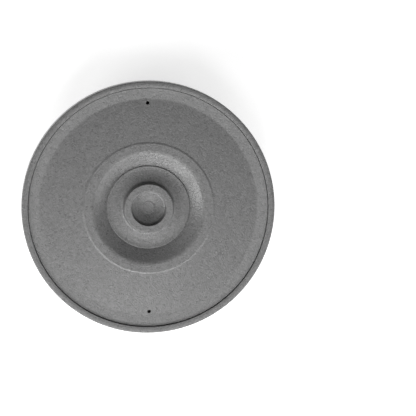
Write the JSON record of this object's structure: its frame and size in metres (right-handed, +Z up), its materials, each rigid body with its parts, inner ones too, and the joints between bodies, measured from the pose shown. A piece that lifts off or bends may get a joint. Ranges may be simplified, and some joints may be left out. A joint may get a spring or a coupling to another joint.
{
  "type": "tortilla warmer",
  "caption": "Round moulded warmer for a stack of tortillas: a thick bowl with a raised rim and a drop-in vented lid with a recessed, cupped knob.",
  "frame": {"origin": "centre of the foot ring, on the plane the warmer stands on", "axes": "+Z up along the turning axis; +Y and -Y point at the lid's two steam vents"},
  "size_m": [0.204, 0.204, 0.05],
  "materials": {
    "base_shell": "mottled charcoal foam-moulded polypropylene, satin",
    "lid_shell": "mottled charcoal foam-moulded polypropylene, satin"
  },
  "bodies": {
    "base": {"base": "base_shell"},
    "lid": {"lid": "lid_shell"}
  },
  "joints": [
    {"name": "lid_lift", "type": "slide", "parent": "base", "child": "lid", "axis": [0, 0, 1], "range_m": [0, 0.1]}
  ]
}
